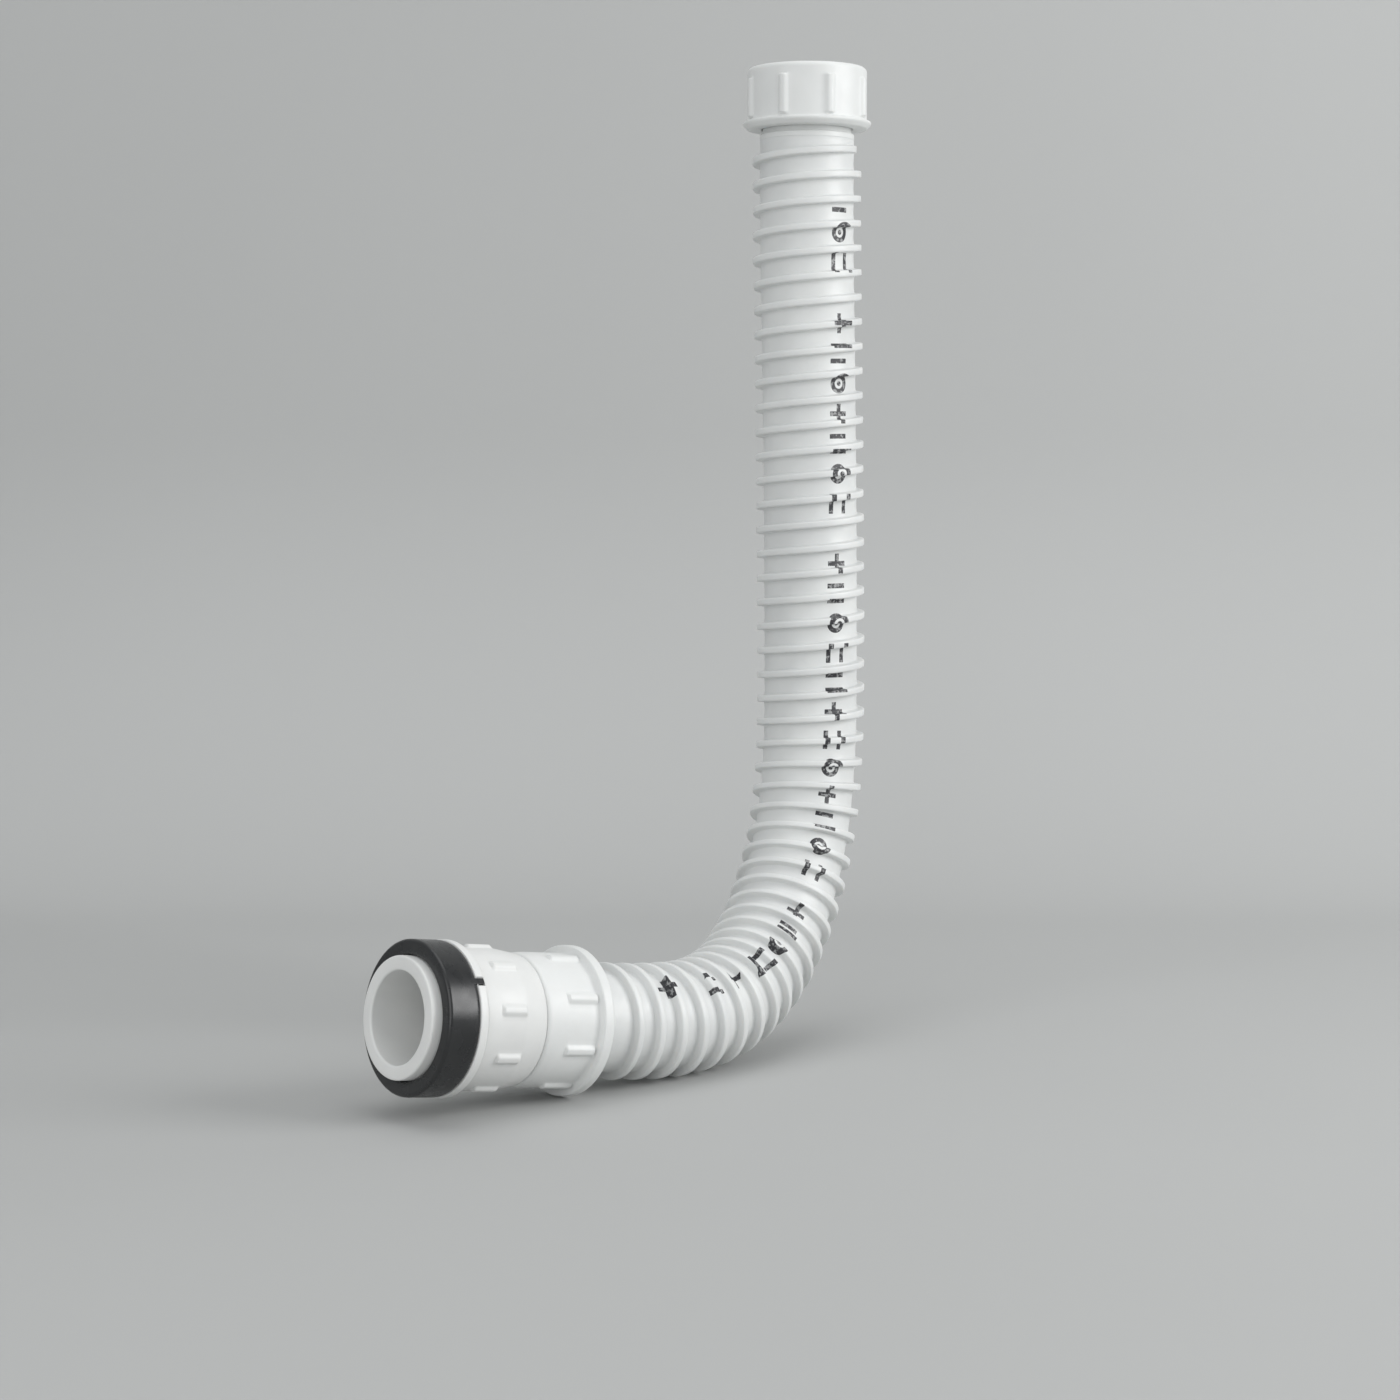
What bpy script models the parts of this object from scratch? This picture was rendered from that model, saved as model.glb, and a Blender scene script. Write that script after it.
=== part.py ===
"""Flexible toilet pan connector, in metres with +Z up.

A helically ribbed hose hangs from an upper union nut, bends at its foot and ends in a lower union nut.
That nut draws in an adapter, whose spigot and rubber ring push into the pan's inlet.
The origin is the middle of the upper nut's open mouth, on its axis.
"""

import bmesh
import bpy
import numpy as np
from math import ceil, cos, floor, pi, radians, sin, tau
from mathutils import Matrix, Vector
from typing import NamedTuple

# Hose: its wall, the rib that winds round it, and its route from the upper nut to the lower nut
HOSE_WALL = 0.0025
RIB_HEIGHT = 0.0029
RIB_PITCH = 0.0097
RIB_FOOT = 0.0034
RIB_TOP = 0.0024
RIB_FADE = 0.0030
LEG_LENGTH = 0.214
LEG_BOW = radians(1.6)
HEAD_STRAIGHT = 0.020
BOW_RISE = 0.050
BOW_LENGTH = 0.250
BEND_LENGTH = 0.2225
TAIL_STRAIGHT = 0.0155
BEND_ANGLE = radians(97.5)
SIDE_TURN = radians(23.0)
SIDE_TURN_LENGTH = 0.090

# Screwed unions: a 1 1/4 inch pipe thread at both ends of the hose
THREAD_DIAMETER = 0.04191
THREAD_DEPTH = 0.00148
NUT_STEP = 0.001475
NUT_FLOOR = 0.0050
NUT_CHAMFER = 0.0006
NUT_PLAY = 0.0020
TAIL_FLANGE = 0.0028
TAIL_COLLAR = 0.0020
TAIL_COLLAR_STEP = 0.0010
TAIL_NECK_WALL = 0.0038
TAIL_WALL = 0.0020
TAIL_SPIGOT = 0.0180
WASHER_THICKNESS = 0.0025
WASHER_RELIEF = 0.0007

# Upper nut
UPPER_NUT_LENGTH = 0.0240
UPPER_NUT_WALL = 0.002495
UPPER_NUT_TAPER = 0.0012
UPPER_NUT_DROP = 0.0012
UPPER_LIP = 0.0029
UPPER_LIP_WIDTH = 0.00175
UPPER_BAR_HEIGHT = 0.0011
UPPER_BAR_START = 0.0038
UPPER_BAR_END = 0.0196
UPPER_BAR_TURN = radians(26.0)

# Lower nut
LOWER_NUT_LENGTH = 0.0270
LOWER_NUT_WALL = 0.003195
LOWER_NUT_TAPER = 0.0050
LOWER_NUT_DROP = 0.0007
LOWER_LIP = 0.0046
LOWER_LIP_WIDTH = 0.0030
LOWER_BAR_HEIGHT = 0.0013
LOWER_BAR_START = 0.0052
LOWER_BAR_END = 0.0186
LOWER_BAR_TURN = radians(26.7)

# Adapter, outwards from the lower nut
ADAPTER_WALL = 0.002975
ADAPTER_NECK_WALL = 0.002495
ADAPTER_RISE = 0.0016
ADAPTER_TAPER = 0.0100
ADAPTER_BODY = 0.0165
ADAPTER_BAR_LENGTH = 0.0107
ADAPTER_BAR_HEIGHT = 0.0013
ADAPTER_BAR_TURN = radians(14.9)
GROOVE_WIDTH = 0.0014
GROOVE_DEPTH = 0.0008
FLANGE_RISE = 0.0025
FLANGE_THICKNESS = 0.0034
SPIGOT_WALL = 0.0052
SPIGOT_PROJECTION = 0.0036

# Rubber ring on the spigot
RING_THICKNESS = 0.0058
RING_LENGTH = 0.0126
RING_ROUNDING = 0.0010

# Grip bars
NUT_BARS = 8
ADAPTER_BARS = 9
BAR_WIDTH = 0.0042

# Clearances: between faces that touch, round what turns, and between thread crests and roots
TOUCH_GAP = 0.0003
TURN_GAP = 0.0004
THREAD_GAP = 0.00015

# Fineness of the meshes
HOSE_SIDES = 18
BORE_RINGS = 36
PLAIN_SIDES = 40
NUT_GAP_FACES = 4
ADAPTER_GAP_FACES = 3
ROUNDING_FACES = 3
PATH_STEP = 0.0005

# Derived radii, from the thread inwards and outwards
THREAD_ROOT = THREAD_DIAMETER / 2 + THREAD_GAP
THREAD_CORE = THREAD_DIAMETER / 2 - THREAD_DEPTH
SEAT_RADIUS = THREAD_CORE - TOUCH_GAP
HOLE_RADIUS = THREAD_CORE - NUT_STEP
NECK_RADIUS = HOLE_RADIUS - TURN_GAP
COLLAR_RADIUS = NECK_RADIUS + TAIL_COLLAR_STEP
TAIL_BORE_RADIUS = NECK_RADIUS - TAIL_NECK_WALL
TAIL_RADIUS = TAIL_BORE_RADIUS + TAIL_WALL
HOSE_BORE_RADIUS = TAIL_RADIUS + TOUCH_GAP
HOSE_RADIUS = HOSE_BORE_RADIUS + HOSE_WALL
WASHER_BORE_RADIUS = TAIL_BORE_RADIUS + WASHER_RELIEF
ADAPTER_BORE_RADIUS = THREAD_CORE - ADAPTER_WALL
ADAPTER_NECK_RADIUS = THREAD_ROOT + ADAPTER_NECK_WALL
ADAPTER_RADIUS = ADAPTER_NECK_RADIUS + ADAPTER_RISE
FLANGE_RADIUS = ADAPTER_RADIUS + FLANGE_RISE
SPIGOT_RADIUS = ADAPTER_BORE_RADIUS + SPIGOT_WALL

# Derived heights above the hose side of a nut, and the hose's length
HOSE_START = NUT_PLAY + TAIL_COLLAR + TOUCH_GAP
ROUTE_LENGTH = LEG_LENGTH + BEND_LENGTH + TAIL_STRAIGHT
TAIL_FLANGE_START = NUT_FLOOR + TOUCH_GAP
WASHER_START = TAIL_FLANGE_START + TAIL_FLANGE + TOUCH_GAP
ADAPTER_START = WASHER_START + WASHER_THICKNESS + TOUCH_GAP
ADAPTER_SHOULDER = LOWER_NUT_LENGTH + TURN_GAP
FLANGE_START = ADAPTER_SHOULDER + ADAPTER_TAPER + ADAPTER_BODY + GROOVE_WIDTH
FLANGE_FACE = FLANGE_START + FLANGE_THICKNESS
RING_START = FLANGE_FACE + TOUCH_GAP
SPIGOT_END = RING_START + RING_LENGTH + SPIGOT_PROJECTION


class NutSizes(NamedTuple):
    """One nut's heights from its hose side, its radii, and its grip bars."""

    length: float
    radius: float
    taper: float
    drop: float
    lip: float
    lip_radius: float
    bar_start: float
    bar_end: float
    bar_height: float
    bar_turn: float


UPPER_NUT = NutSizes(
    length=UPPER_NUT_LENGTH,
    radius=THREAD_ROOT + UPPER_NUT_WALL,
    taper=UPPER_NUT_TAPER,
    drop=UPPER_NUT_DROP,
    lip=UPPER_LIP,
    lip_radius=THREAD_ROOT + UPPER_NUT_WALL + UPPER_LIP_WIDTH,
    bar_start=UPPER_BAR_START,
    bar_end=UPPER_BAR_END,
    bar_height=UPPER_BAR_HEIGHT,
    bar_turn=UPPER_BAR_TURN,
)
LOWER_NUT = NutSizes(
    length=LOWER_NUT_LENGTH,
    radius=THREAD_ROOT + LOWER_NUT_WALL,
    taper=LOWER_NUT_TAPER,
    drop=LOWER_NUT_DROP,
    lip=LOWER_LIP,
    lip_radius=THREAD_ROOT + LOWER_NUT_WALL + LOWER_LIP_WIDTH,
    bar_start=LOWER_BAR_START,
    bar_end=LOWER_BAR_END,
    bar_height=LOWER_BAR_HEIGHT,
    bar_turn=LOWER_BAR_TURN,
)


def clear_scene():
    for thing in list(bpy.data.objects):
        bpy.data.objects.remove(thing, do_unlink=True)


def principled(name, colour, roughness):
    material = bpy.data.materials.new(name)
    material.use_nodes = True
    shader = material.node_tree.nodes["Principled BSDF"]
    shader.inputs["Base Color"].default_value = (*colour, 1.0)
    shader.inputs["Roughness"].default_value = roughness
    shader.inputs["Metallic"].default_value = 0.0
    return material


def add_piece(name, mesh, material, parent=None):
    """Closes up a bmesh into a smooth-shaded object that faces out."""
    bmesh.ops.recalc_face_normals(mesh, faces=mesh.faces)
    data = bpy.data.meshes.new(name)
    mesh.to_mesh(data)
    mesh.free()
    data.materials.append(material)
    data.shade_smooth()
    data.set_sharp_from_angle(angle=radians(35.0))
    piece = bpy.data.objects.new(name, data)
    piece.parent = parent
    bpy.context.collection.objects.link(piece)
    return piece


def add_place(name, matrix):
    place = bpy.data.objects.new(name, None)
    place.empty_display_size = THREAD_DIAMETER
    place.matrix_world = matrix
    bpy.context.collection.objects.link(place)
    return place


# Route of the hose


def smooth_step(share):
    share = np.clip(share, 0.0, 1.0)
    return share * share * (3.0 - 2.0 * share)


def route_direction(along):
    """The hose's direction at a length along its route: down the slightly bowed leg, then round to -X."""
    fall = BEND_ANGLE * smooth_step((along - LEG_LENGTH) / BEND_LENGTH)
    turn_start = LEG_LENGTH + BEND_LENGTH - SIDE_TURN_LENGTH
    side = SIDE_TURN * (1.0 - smooth_step((along - turn_start) / SIDE_TURN_LENGTH))
    bow_start = smooth_step((along - HEAD_STRAIGHT) / BOW_RISE)
    bow = LEG_BOW * bow_start * (1.0 - smooth_step((along - HEAD_STRAIGHT) / BOW_LENGTH))
    sideways = np.sin(bow) - np.sin(fall) * np.cos(side)
    forward = np.stack([sideways, -np.sin(fall) * np.sin(side), -np.cos(fall)])
    return (forward / np.linalg.norm(forward, axis=0)).T


def route():
    """Lengths, centres and two cross directions along the hose, which turn no more than they must."""
    steps = ceil(ROUTE_LENGTH / PATH_STEP)
    along = np.linspace(0.0, ROUTE_LENGTH, steps + 1)
    forward = route_direction(along)
    between = route_direction((along[1:] + along[:-1]) / 2) * (ROUTE_LENGTH / steps)
    start = np.array([[0.0, 0.0, -UPPER_NUT_LENGTH]])
    centres = np.concatenate([start, start + np.cumsum(between, axis=0)])
    across = [np.array([1.0, 0.0, 0.0])]
    for heading in forward[1:]:
        level = across[-1] - heading * np.dot(across[-1], heading)
        across.append(level / np.linalg.norm(level))
    across = np.array(across)
    return along, centres, across, np.cross(forward, across)


def lower_end(centres):
    """The lower nut's place: its local +Z runs out along the hose, and its +X faces -Y."""
    outward = Vector(route_direction(np.array(ROUTE_LENGTH)))
    side = Vector((0.0, -1.0, 0.0))
    turned_frame = Matrix((side, outward.cross(side), outward)).transposed().to_4x4()
    return Matrix.Translation(Vector(centres[-1])) @ turned_frame


# Hose


def make_hose(material):
    """The rib winds as rows of a grid, each row a helix, whose last column meets the first a pitch on."""
    along, *fields = route()
    mesh = bmesh.new()
    length = ROUTE_LENGTH - 2 * HOSE_START

    def vertex(distance, column, radius):
        place = HOSE_START + distance
        angle = tau * column / HOSE_SIDES
        centre, across, upright = (
            np.array([np.interp(place, along, part) for part in field.T]) for field in fields
        )
        return mesh.verts.new(centre + radius * (cos(angle) * across + sin(angle) * upright))

    def ring(distance, radius):
        return [vertex(distance, column, radius) for column in range(HOSE_SIDES)]

    first = RIB_FOOT / 2 + 2 * TOUCH_GAP
    last_column = (HOSE_SIDES - 1) / HOSE_SIDES
    turns = floor((length - 2 * first) / RIB_PITCH - last_column) + 1
    last = first + RIB_PITCH * (turns - 1 + last_column)
    foot = RIB_FOOT / 2
    top = RIB_TOP / 2
    profile = ((-foot, 0.0), (-top, RIB_HEIGHT), (top, RIB_HEIGHT), (foot, 0.0))
    rows = []
    for turn in range(turns):
        for offset, height in profile:
            row = []
            for column in range(HOSE_SIDES):
                middle = first + RIB_PITCH * (turn + column / HOSE_SIDES)
                fade = smooth_step((middle - first) / RIB_FADE) * smooth_step((last - middle) / RIB_FADE)
                row.append(vertex(middle + offset, column, HOSE_RADIUS + height * float(fade)))
            rows.append(row)

    step = len(profile)
    start = ring(0.0, HOSE_RADIUS)
    end = ring(length, HOSE_RADIUS)
    for upper, lower in zip([start] + rows, rows + [end]):
        for column in range(HOSE_SIDES - 1):
            mesh.faces.new((upper[column], upper[column + 1], lower[column + 1], lower[column]))
    for row in range(len(rows) - step - 1):
        mesh.faces.new((rows[row][-1], rows[row + step][0], rows[row + step + 1][0], rows[row + 1][-1]))
    fill_fan(mesh, rows[0][-1], [start[-1], start[0]] + [row[0] for row in rows[: step + 1]])
    fill_fan(mesh, rows[-1][0], [row[-1] for row in rows[-step - 1 :]] + [end[-1], end[0]])

    bore = [ring(length * i / BORE_RINGS, HOSE_BORE_RADIUS) for i in range(BORE_RINGS + 1)]
    skins = [start] + bore + [end]
    for outer, inner in zip(skins, skins[1:]):
        for column in range(HOSE_SIDES):
            after = (column + 1) % HOSE_SIDES
            mesh.faces.new((outer[column], outer[after], inner[after], inner[column]))
    return add_piece("hose", mesh, material)


def fill_fan(mesh, apex, rim):
    for one, other in zip(rim, rim[1:]):
        mesh.faces.new((apex, one, other))


# Turned pieces


def even_columns(count):
    return [tau * i / count for i in range(count)]


def barred_columns(bars, gap_faces, radius, turn):
    """Angles whose every first face is a grip bar wide, with the gap after it in equal faces."""
    width = BAR_WIDTH / radius
    gap = (tau / bars - width) / gap_faces
    angles = []
    for bar in range(bars):
        start = turn + tau * bar / bars - width / 2
        angles += [start] + [start + width + gap * i for i in range(gap_faces)]
    return angles


def turn_piece(name, outline, material, parent):
    return barred_piece(name, outline, material, parent, even_columns(PLAIN_SIDES))


def barred_piece(name, outline, material, parent, angles, bar_foot=None, bar_every=1, bar_height=0.0):
    """Turns a closed outline of (radius, height) round Z.

    A bar is raised on every bar_every-th face of the row that starts at the outline's point bar_foot.
    """
    mesh = bmesh.new()
    columns = [[mesh.verts.new((r * cos(a), r * sin(a), h)) for r, h in outline] for a in angles]
    bars = []
    for number, column in enumerate(columns):
        after = columns[(number + 1) % len(columns)]
        for row, point in enumerate(outline):
            below = (row + 1) % len(outline)
            face = mesh.faces.new((column[row], after[row], after[below], column[below]))
            if point == bar_foot and number % bar_every == 0:
                bars.append(face)
    bmesh.ops.recalc_face_normals(mesh, faces=mesh.faces)
    for raised in bmesh.ops.extrude_discrete_faces(mesh, faces=bars)["faces"]:
        for corner in raised.verts:
            outward = Vector((corner.co.x, corner.co.y, 0.0)).normalized()
            corner.co += outward * bar_height
    return add_piece(name, mesh, material, parent)


def make_nut(name, place, material, nut):
    """From the hole in the hose side, round the lip and the barred body, to the mouth and down the thread."""
    bar_foot = (nut.radius, nut.bar_start)
    outline = [
        (HOLE_RADIUS, 0.0),
        (nut.lip_radius - NUT_CHAMFER, 0.0),
        (nut.lip_radius, NUT_CHAMFER),
        (nut.lip_radius, nut.lip - NUT_CHAMFER),
        (nut.radius, nut.lip),
        bar_foot,
        (nut.radius, nut.bar_end),
        (nut.radius, nut.length - nut.taper),
        (nut.radius - nut.drop, nut.length),
        (THREAD_ROOT + NUT_CHAMFER, nut.length),
        (THREAD_ROOT, nut.length - NUT_CHAMFER),
        (THREAD_ROOT, NUT_FLOOR),
        (HOLE_RADIUS, NUT_FLOOR),
    ]
    angles = barred_columns(NUT_BARS, NUT_GAP_FACES, nut.radius, nut.bar_turn)
    return barred_piece(name, outline, material, place, angles, bar_foot, NUT_GAP_FACES + 1, nut.bar_height)


def make_tail(name, place, material):
    """A flange caught in the nut, a neck through the nut's hole, a collar and a spigot inside the hose."""
    outline = [
        (TAIL_BORE_RADIUS, TAIL_FLANGE_START + TAIL_FLANGE),
        (SEAT_RADIUS, TAIL_FLANGE_START + TAIL_FLANGE),
        (SEAT_RADIUS, TAIL_FLANGE_START),
        (NECK_RADIUS, TAIL_FLANGE_START),
        (NECK_RADIUS, -NUT_PLAY),
        (COLLAR_RADIUS, -NUT_PLAY),
        (COLLAR_RADIUS, -NUT_PLAY - TAIL_COLLAR),
        (TAIL_RADIUS, -NUT_PLAY - TAIL_COLLAR),
        (TAIL_RADIUS, -HOSE_START - TAIL_SPIGOT),
        (TAIL_BORE_RADIUS, -HOSE_START - TAIL_SPIGOT),
    ]
    return turn_piece(name, outline, material, place)


def make_washer(name, place, material):
    top = WASHER_START + WASHER_THICKNESS
    outline = [
        (WASHER_BORE_RADIUS, top),
        (SEAT_RADIUS, top),
        (SEAT_RADIUS, WASHER_START),
        (WASHER_BORE_RADIUS, WASHER_START),
    ]
    return turn_piece(name, outline, material, place)


def make_adapter(place, material):
    """Threaded core, shoulder, taper, barred body, flange for the rubber ring and spigot, in one moulding."""
    bar_foot = (ADAPTER_RADIUS, ADAPTER_SHOULDER + ADAPTER_TAPER)
    body_end = ADAPTER_SHOULDER + ADAPTER_TAPER + ADAPTER_BODY
    outline = [
        (ADAPTER_BORE_RADIUS, ADAPTER_START),
        (THREAD_CORE, ADAPTER_START),
        (THREAD_CORE, ADAPTER_SHOULDER),
        (ADAPTER_NECK_RADIUS - NUT_CHAMFER, ADAPTER_SHOULDER),
        (ADAPTER_NECK_RADIUS, ADAPTER_SHOULDER + NUT_CHAMFER),
        bar_foot,
        (ADAPTER_RADIUS, ADAPTER_SHOULDER + ADAPTER_TAPER + ADAPTER_BAR_LENGTH),
        (ADAPTER_RADIUS, body_end),
        (ADAPTER_RADIUS - GROOVE_DEPTH, body_end),
        (ADAPTER_RADIUS - GROOVE_DEPTH, FLANGE_START),
        (FLANGE_RADIUS, FLANGE_START),
        (FLANGE_RADIUS, FLANGE_FACE),
        (SPIGOT_RADIUS, FLANGE_FACE),
        (SPIGOT_RADIUS, SPIGOT_END - NUT_CHAMFER),
        (SPIGOT_RADIUS - NUT_CHAMFER, SPIGOT_END),
        (ADAPTER_BORE_RADIUS, SPIGOT_END),
    ]
    angles = barred_columns(ADAPTER_BARS, ADAPTER_GAP_FACES, ADAPTER_RADIUS, ADAPTER_BAR_TURN)
    faces_per_bar = ADAPTER_GAP_FACES + 1
    return barred_piece(
        "pan_adapter", outline, material, place, angles, bar_foot, faces_per_bar, ADAPTER_BAR_HEIGHT
    )


def make_seal_ring(place, material):
    """The rubber ring that seals in the pan's inlet, rounded where it enters."""
    inner = SPIGOT_RADIUS + TOUCH_GAP
    outer = SPIGOT_RADIUS + RING_THICKNESS
    front = RING_START + RING_LENGTH
    outline = [(inner, RING_START), (outer, RING_START)]
    for i in range(ROUNDING_FACES + 1):
        angle = pi / 2 * i / ROUNDING_FACES
        rounding = Vector((cos(angle) - 1.0, sin(angle) - 1.0)) * RING_ROUNDING
        outline.append((outer + rounding.x, front + rounding.y))
    outline.append((inner, front))
    return turn_piece("pan_seal_ring", outline, material, place)


def main():
    clear_scene()
    white = principled("moulded_white", (0.86, 0.87, 0.86), 0.35)
    flexible = principled("flexible_white", (0.84, 0.85, 0.84), 0.45)
    black = principled("black_rubber", (0.03, 0.032, 0.034), 0.45)
    grey = principled("washer_rubber", (0.12, 0.12, 0.12), 0.6)
    upper = add_place("upper_union", Matrix.Translation((0.0, 0.0, -UPPER_NUT_LENGTH)))
    lower = add_place("lower_union", lower_end(route()[1]))
    make_hose(flexible)
    make_nut("upper_nut", upper, white, UPPER_NUT)
    make_nut("lower_nut", lower, white, LOWER_NUT)
    for name, place in (("upper", upper), ("lower", lower)):
        make_tail(name + "_tail", place, white)
        make_washer(name + "_washer", place, grey)
    make_adapter(lower, white)
    make_seal_ring(lower, black)


main()
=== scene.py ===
"""Looks of the flexible toilet pan connector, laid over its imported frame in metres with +Z up."""

from math import ceil, cos, floor, pi, radians, sin, tau

import bpy
import numpy as np
from mathutils import Euler, Matrix, Vector


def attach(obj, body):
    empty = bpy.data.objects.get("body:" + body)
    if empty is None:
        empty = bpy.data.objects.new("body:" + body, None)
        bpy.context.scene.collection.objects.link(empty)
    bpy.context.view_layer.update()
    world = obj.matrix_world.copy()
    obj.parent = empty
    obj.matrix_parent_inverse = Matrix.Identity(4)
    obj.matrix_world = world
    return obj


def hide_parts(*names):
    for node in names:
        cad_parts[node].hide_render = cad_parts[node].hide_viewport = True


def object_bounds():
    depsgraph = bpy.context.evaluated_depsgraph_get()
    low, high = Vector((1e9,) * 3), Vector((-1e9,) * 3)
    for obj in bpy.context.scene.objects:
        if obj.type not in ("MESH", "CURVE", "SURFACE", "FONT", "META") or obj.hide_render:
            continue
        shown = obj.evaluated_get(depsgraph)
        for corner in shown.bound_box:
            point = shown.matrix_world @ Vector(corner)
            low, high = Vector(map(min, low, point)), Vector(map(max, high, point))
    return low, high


MM = 0.001

# Hose and its route, as in the frame
HOSE_BORE = 0.0322
HOSE_DIAMETER = 0.0372
RIB_DIAMETER = 0.0430
RIB_PITCH = 0.0097
RIB_FOOT = 0.0034
RIB_FADE = 0.0030
LEG_LENGTH = 0.214
LEG_BOW = radians(1.6)
HEAD_STRAIGHT = 0.020
BOW_RISE = 0.050
BOW_LENGTH = 0.250
BEND_LENGTH = 0.2225
TAIL_STRAIGHT = 0.0155
BEND_ANGLE = radians(97.5)
SIDE_TURN = radians(23.0)
SIDE_TURN_LENGTH = 0.090
ROUTE_LENGTH = LEG_LENGTH + BEND_LENGTH + TAIL_STRAIGHT
PATH_STEP = 0.0005

# Screwed unions, with heights from the hose side of their nut
THREAD_DIAMETER = 0.04191
THREAD_DEPTH = 0.00148
THREAD_PITCH = 0.0254 / 11
THREAD_GAP = 0.00015
THREAD_SHARPNESS = 1.6
THREAD_RUN_IN = 0.0034
THREAD_RUN_OUT = 0.0012
CORE_LEAD = 0.0008
CORE_UNDERCUT = 0.0006
NUT_HOLE = 0.0360
NUT_FLOOR = 0.0050
NUT_PLAY = 0.0020
TAIL_BORE = 0.0276
TAIL_FLANGE = 0.0028
TAIL_COLLAR = 0.0020
TAIL_SPIGOT = 0.0180
TAIL_RIB_PITCH = 0.0045
TAIL_RIB_DEPTH = 0.0005
TAIL_RIB_SLOPE = 1.5
WASHER_THICKNESS = 0.0025
WASHER_BORE = 0.0290
TOUCH_GAP = 0.0003
TURN_GAP = 0.0004
HOSE_START = NUT_PLAY + TAIL_COLLAR + TOUCH_GAP
THREAD_ROOT = THREAD_DIAMETER / 2 + THREAD_GAP
THREAD_CORE = THREAD_DIAMETER / 2 - THREAD_DEPTH
SEAT_RADIUS = THREAD_CORE - TOUCH_GAP
TAIL_FLANGE_START = NUT_FLOOR + TOUCH_GAP
WASHER_START = TAIL_FLANGE_START + TAIL_FLANGE + TOUCH_GAP

# Nuts
SHOULDER_FILL = 0.00019
UPPER_NUT = {
    "length": 0.0240,
    "body": 0.0472,
    "lip_diameter": 0.0507,
    "lip": 0.0029,
    "lip_slope": 0.0018,
    "lip_fillet": 0.0012,
    "taper": 0.0012,
    "drop": 0.0010,
    "front_fill": 0.0,
    "bar_start": 0.0038,
    "bar_end": 0.0196,
    "bar_height": 0.0013,
    "turn": radians(26.0),
}
LOWER_NUT = {
    "length": 0.0270,
    "body": 0.0486,
    "lip_diameter": 0.0546,
    "lip": 0.0046,
    "lip_slope": 0.0008,
    "lip_fillet": 0.0022,
    "taper": 0.0040,
    "drop": 0.0004,
    "front_fill": SHOULDER_FILL,
    "bar_start": 0.0052,
    "bar_end": 0.0186,
    "bar_height": 0.0012,
    "turn": radians(26.7),
}
NUT_BARS = 8
BAR_BASE = 0.0052
BAR_TOP = 0.0012
BAR_RAMP = 0.0007
COLLAR_FILL = 0.00014

# Adapter and rubber ring
ADAPTER_START = WASHER_START + WASHER_THICKNESS + TOUCH_GAP
ADAPTER_SHOULDER = LOWER_NUT["length"] + TURN_GAP
ADAPTER_BORE = 0.0330
ADAPTER_NECK = 0.0472
ADAPTER_DIAMETER = 0.0504
ADAPTER_TAPER = 0.0100
ADAPTER_BODY = 0.0165
ADAPTER_BARS = 9
ADAPTER_BAR_LENGTH = 0.0107
ADAPTER_BAR_HEIGHT = 0.0012
ADAPTER_BAR_TURN = radians(14.9)
GROOVE_WIDTH = 0.0014
GROOVE_DEPTH = 0.0011
FLANGE_DIAMETER = 0.0554
FLANGE_THICKNESS = 0.0034
SPIGOT_DIAMETER = 0.0434
SPIGOT_PROJECTION = 0.0036
RING_DIAMETER = 0.0550
RING_LENGTH = 0.0126
FLANGE_START = ADAPTER_SHOULDER + ADAPTER_TAPER + ADAPTER_BODY + GROOVE_WIDTH
FLANGE_FACE = FLANGE_START + FLANGE_THICKNESS
RING_START = FLANGE_FACE + TOUCH_GAP
SPIGOT_END = RING_START + RING_LENGTH + SPIGOT_PROJECTION

# Rubber nib in a notch of the flange
NIB_ANGLE = radians(36.0)
NIB_WIDTH = 0.0022
NIB_DEPTH = 0.0011
NIB_RISE = 0.0001
NIB_INSET = 0.0004
NIB_LAP = 0.0020
NIB_ROUNDING = 0.0002
NOTCH_WIDTH = 0.0030
NOTCH_DEPTH = 0.0014
NOTCH_EASE = 0.0003
NOTCH_ROUNDING = 0.0004

# Hose: half of the rib's outline as (mm from its middle, share of its height), and its unevenness
RIB_HALF = (
    (0.5, 1.0),
    (1.02, 0.99),
    (1.24, 0.91),
    (1.33, 0.72),
    (1.38, 0.42),
    (1.46, 0.18),
    (1.62, 0.05),
    (1.95, 0.0),
    (2.7, -0.02),
    (3.6, -0.045),
)
RIB_TROUGH = (-4.6, -0.05)
RIB_PROFILE = (RIB_TROUGH, *((-offset, height) for offset, height in reversed(RIB_HALF)), *RIB_HALF)
RIB_SWELL = 0.025
RIB_SWELL_RATE = 173.0
RIB_FLUTTER = 0.02
RIB_FLUTTER_RATE = 611.0
RIB_FLUTTER_START = 1.0
BORE_RIPPLE = 0.00010

# Roundings of moulded edges, from a hairline to a full round
HAIRLINE = 0.0001
CRISP = 0.0002
FINE = 0.0003
SLIGHT = 0.0004
SMALL = 0.0005
SOFT = 0.0006
EASED = 0.0007
ROUND = 0.0008
FULL = 0.0009
NECK_ROUNDING = 0.0013
FRONT_ROUNDING = 0.0014
TAPER_ROUNDING = 0.0016
CORNER_SHARE = 0.48

# Fineness
HOSE_SIDES = 78
BORE_RINGS_PER_PITCH = 5
CORNER_FACES = 4
PLAIN_SIDES = 120
RING_SIDES = 144
BAR_COLUMNS = 15
GAP_COLUMNS = 9
NOTCH_COLUMNS = 13
THREAD_STEP = 0.00024
BAR_STEP = 0.0004
RIB_STEP = 0.0006
TAPER_STEP = 0.0008
SHOULDER_STEP = 0.0015

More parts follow.
